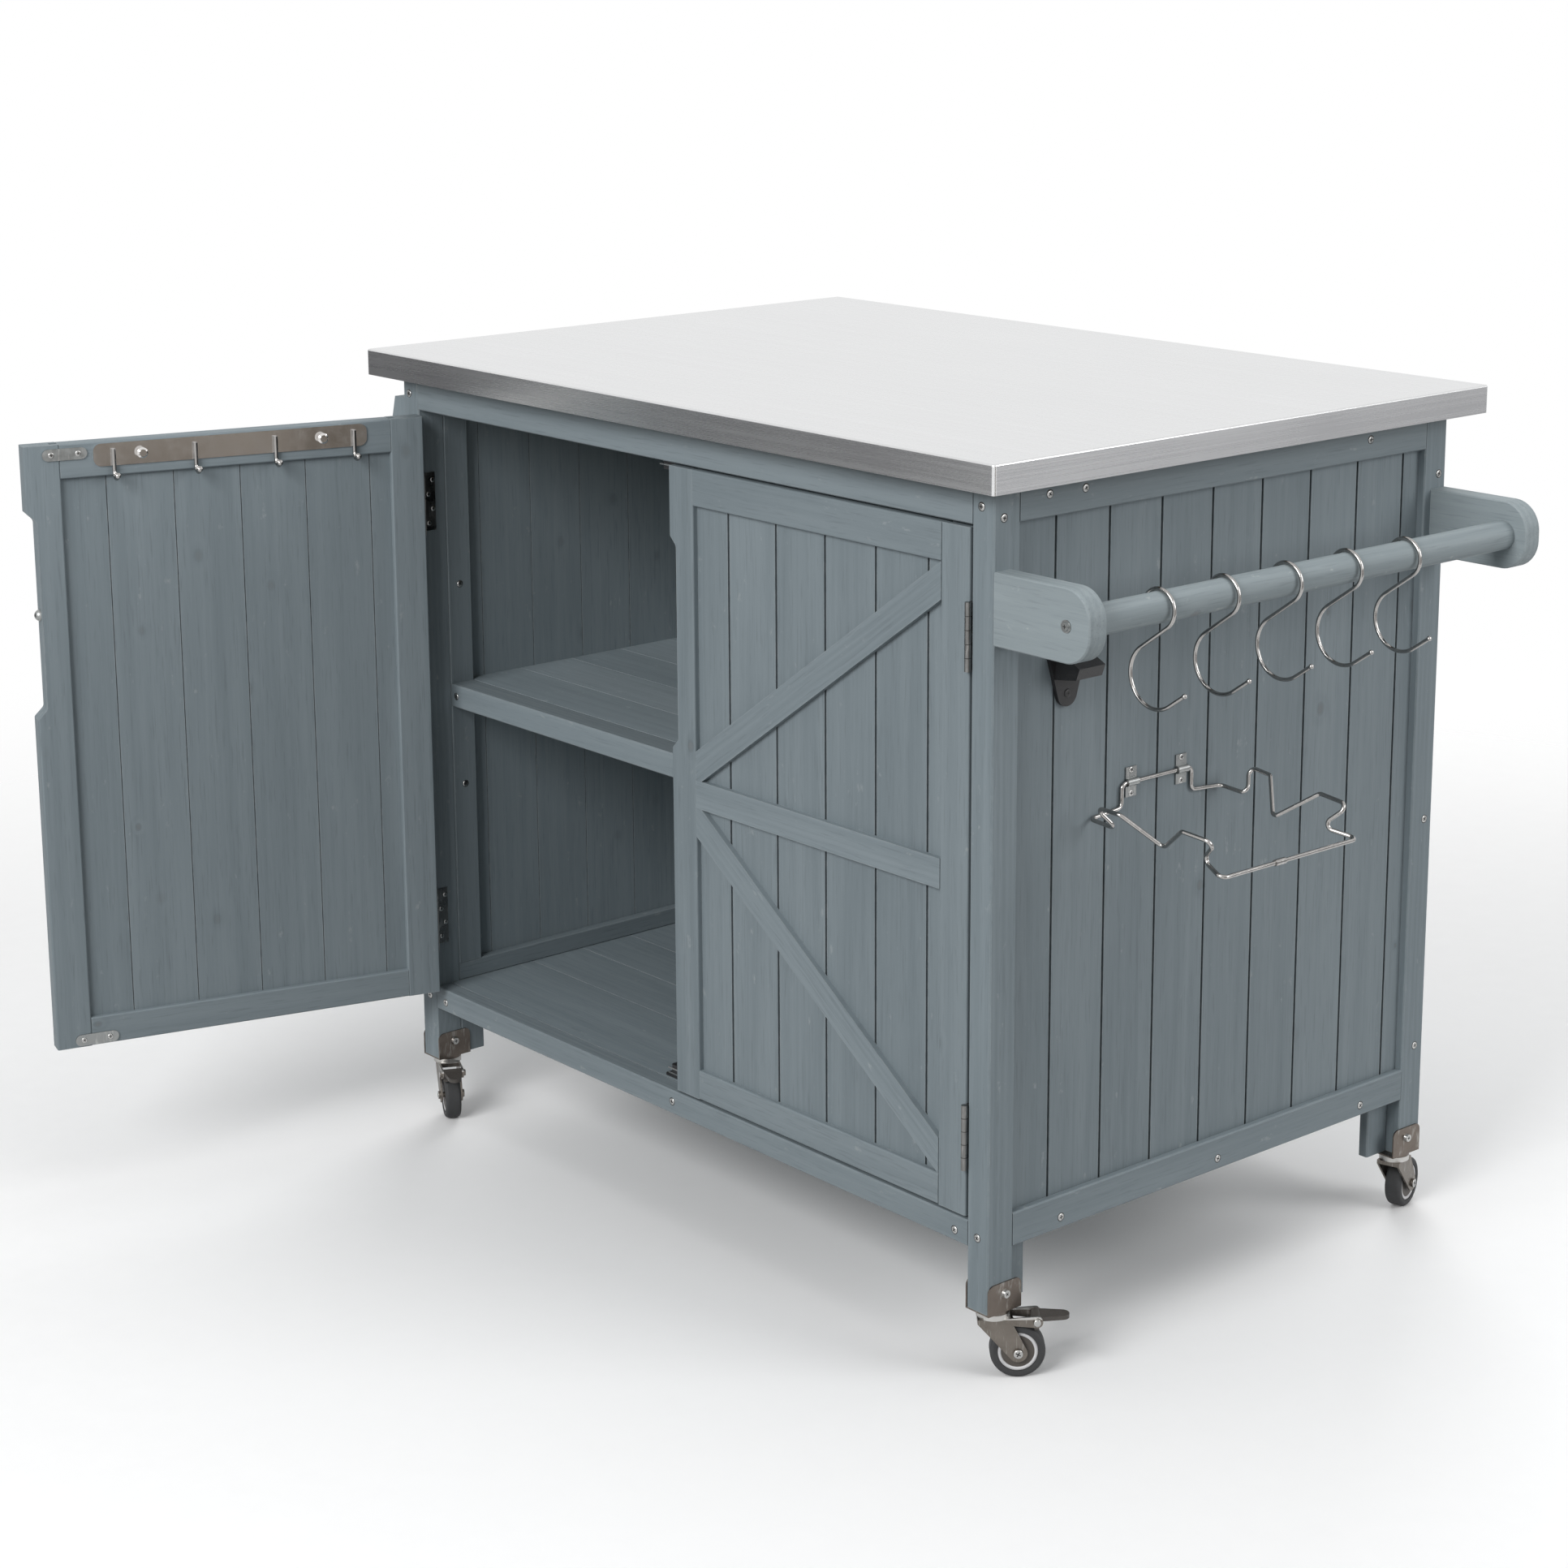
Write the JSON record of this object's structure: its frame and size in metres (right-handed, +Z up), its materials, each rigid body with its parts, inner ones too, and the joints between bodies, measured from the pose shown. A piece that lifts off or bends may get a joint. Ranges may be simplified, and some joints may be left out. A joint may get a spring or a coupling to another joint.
{
  "type": "outdoor kitchen cart",
  "caption": "Rolling planked wooden patio cabinet with a folded steel worktop, braced hinged doors, inner shelf, towel bar, hooks, bag ring, side rack and braked swivel casters.",
  "frame": {"origin": "on the floor under the middle of the worktop", "axes": "+X to the right along the front, +Y from front to back, +Z up"},
  "size_m": [1.1363, 1.0453, 0.85],
  "materials": {
    "grey_wood": "grey-blue stained softwood, satin",
    "board_core": "raw board",
    "worktop_steel": "brushed sheet",
    "zinc_steel": "zinc plated",
    "bright_wire": "polished plating",
    "tyre_grey": "dark grey rubber",
    "hub_plastic": "grey-brown plastic",
    "pedal_plastic": "dark grey-brown plastic",
    "catch_black": "black plastic",
    "opener_black": "black coated casting"
  },
  "bodies": {
    "cabinet": {"worktop_sheet": "worktop_steel", "worktop_core": "board_core", "corner_posts": "grey_wood", "side_stiles": "grey_wood", "front_top_rail": "grey_wood", "front_bottom_rail": "grey_wood", "back_rails": "grey_wood", "side_rails": "grey_wood", "left_side_planks": "grey_wood", "right_side_planks": "grey_wood", "back_planks": "grey_wood", "floor_boards": "grey_wood", "shelf_boards": "grey_wood", "shelf_edge": "grey_wood", "board_battens": "grey_wood", "hinge_post_leaves": "zinc_steel", "door_catches": "catch_black", "towel_bar_brackets": "grey_wood", "towel_bar": "grey_wood", "bar_screws": "zinc_steel", "bottle_opener": "opener_black", "ring_clips": "zinc_steel", "rack_ends": "grey_wood", "rack_boards": "grey_wood", "caster_foot_plates": "zinc_steel", "caster_bolts": "zinc_steel"},
    "left_door": {"left_door_stiles": "grey_wood", "left_door_rails": "grey_wood", "left_door_planks": "grey_wood", "left_door_braces": "grey_wood", "left_door_fittings": "zinc_steel", "left_door_hinge_leaves": "zinc_steel", "hook_rail_plate": "bright_wire", "hook_rail_hooks": "bright_wire"},
    "right_door": {"right_door_stiles": "grey_wood", "right_door_rails": "grey_wood", "right_door_planks": "grey_wood", "right_door_braces": "grey_wood", "right_door_fittings": "zinc_steel", "right_door_hinge_leaves": "zinc_steel"},
    "front_right_swivel": {"front_right_fork": "zinc_steel"},
    "front_right_wheel": {"front_right_tyre": "tyre_grey", "front_right_hub": "hub_plastic"},
    "front_right_brake": {"front_right_brake_pedal": "pedal_plastic"},
    "front_left_swivel": {"front_left_fork": "zinc_steel"},
    "front_left_wheel": {"front_left_tyre": "tyre_grey", "front_left_hub": "hub_plastic"},
    "front_left_brake": {"front_left_brake_pedal": "pedal_plastic"},
    "back_right_swivel": {"back_right_fork": "zinc_steel"},
    "back_right_wheel": {"back_right_tyre": "tyre_grey", "back_right_hub": "hub_plastic"},
    "back_left_swivel": {"back_left_fork": "zinc_steel"},
    "back_left_wheel": {"back_left_tyre": "tyre_grey", "back_left_hub": "hub_plastic"},
    "bag_ring": {"bag_ring": "bright_wire"},
    "s_hook_1": {"s_hook_1": "bright_wire"},
    "s_hook_2": {"s_hook_2": "bright_wire"},
    "s_hook_3": {"s_hook_3": "bright_wire"},
    "s_hook_4": {"s_hook_4": "bright_wire"},
    "s_hook_5": {"s_hook_5": "bright_wire"}
  },
  "joints": [
    {"name": "left_door_hinge", "type": "hinge", "parent": "cabinet", "child": "left_door", "pos_m": [-0.4195, -0.306, 0.46], "axis": [0, 0, -1], "range_deg": [-105, 65]},
    {"name": "right_door_hinge", "type": "hinge", "parent": "cabinet", "child": "right_door", "pos_m": [0.4195, -0.306, 0.46], "axis": [0, 0, 1], "range_deg": [0, 170]},
    {"name": "front_right_swivel_turn", "type": "hinge", "parent": "cabinet", "child": "front_right_swivel", "pos_m": [0.4345, -0.2825, 0.06], "axis": [0, 0, 1], "continuous": true},
    {"name": "front_right_wheel_spin", "type": "hinge", "parent": "front_right_swivel", "child": "front_right_wheel", "pos_m": [0.44864, -0.26565, 0.0254], "axis": [0.766, -0.6428, 0], "continuous": true},
    {"name": "front_right_brake_press", "type": "hinge", "parent": "front_right_swivel", "child": "front_right_brake", "pos_m": [0.45957, -0.25262, 0.0555], "axis": [-0.766, 0.6428, 0], "range_deg": [0, 18]},
    {"name": "front_left_swivel_turn", "type": "hinge", "parent": "cabinet", "child": "front_left_swivel", "pos_m": [-0.4345, -0.2825, 0.06], "axis": [0, 0, 1], "continuous": true},
    {"name": "front_left_wheel_spin", "type": "hinge", "parent": "front_left_swivel", "child": "front_left_wheel", "pos_m": [-0.4149, -0.29249, 0.0254], "axis": [-0.454, -0.891, 0], "continuous": true},
    {"name": "front_left_brake_press", "type": "hinge", "parent": "front_left_swivel", "child": "front_left_brake", "pos_m": [-0.39975, -0.30021, 0.0555], "axis": [0.454, 0.891, 0], "range_deg": [0, 18]},
    {"name": "back_right_swivel_turn", "type": "hinge", "parent": "cabinet", "child": "back_right_swivel", "pos_m": [0.4345, 0.2825, 0.06], "axis": [0, 0, 1], "continuous": true},
    {"name": "back_right_wheel_spin", "type": "hinge", "parent": "back_right_swivel", "child": "back_right_wheel", "pos_m": [0.42844, 0.30365, 0.0254], "axis": [0.9613, 0.2756, 0], "continuous": true},
    {"name": "back_left_swivel_turn", "type": "hinge", "parent": "cabinet", "child": "back_left_swivel", "pos_m": [-0.4345, 0.2825, 0.06], "axis": [0, 0, 1], "continuous": true},
    {"name": "back_left_wheel_spin", "type": "hinge", "parent": "back_left_swivel", "child": "back_left_wheel", "pos_m": [-0.45355, 0.2935, 0.0254], "axis": [0.5, 0.866, 0], "continuous": true},
    {"name": "bag_ring_fold", "type": "hinge", "parent": "cabinet", "child": "bag_ring", "pos_m": [0.4423, -0.0893, 0.531], "axis": [0, -1, 0], "range_deg": [0, 90]},
    {"name": "s_hook_1_swing", "type": "hinge", "parent": "cabinet", "child": "s_hook_1", "pos_m": [0.535, -0.191, 0.718], "axis": [0, -1, 0], "range_deg": [-26, 40]},
    {"name": "s_hook_2_swing", "type": "hinge", "parent": "cabinet", "child": "s_hook_2", "pos_m": [0.535, -0.109, 0.718], "axis": [0, -1, 0], "range_deg": [-40, 40]},
    {"name": "s_hook_3_swing", "type": "hinge", "parent": "cabinet", "child": "s_hook_3", "pos_m": [0.535, -0.027, 0.718], "axis": [0, -1, 0], "range_deg": [-40, 40]},
    {"name": "s_hook_4_swing", "type": "hinge", "parent": "cabinet", "child": "s_hook_4", "pos_m": [0.535, 0.055, 0.718], "axis": [0, -1, 0], "range_deg": [-40, 40]},
    {"name": "s_hook_5_swing", "type": "hinge", "parent": "cabinet", "child": "s_hook_5", "pos_m": [0.535, 0.137, 0.718], "axis": [0, -1, 0], "range_deg": [-40, 40]}
  ]
}
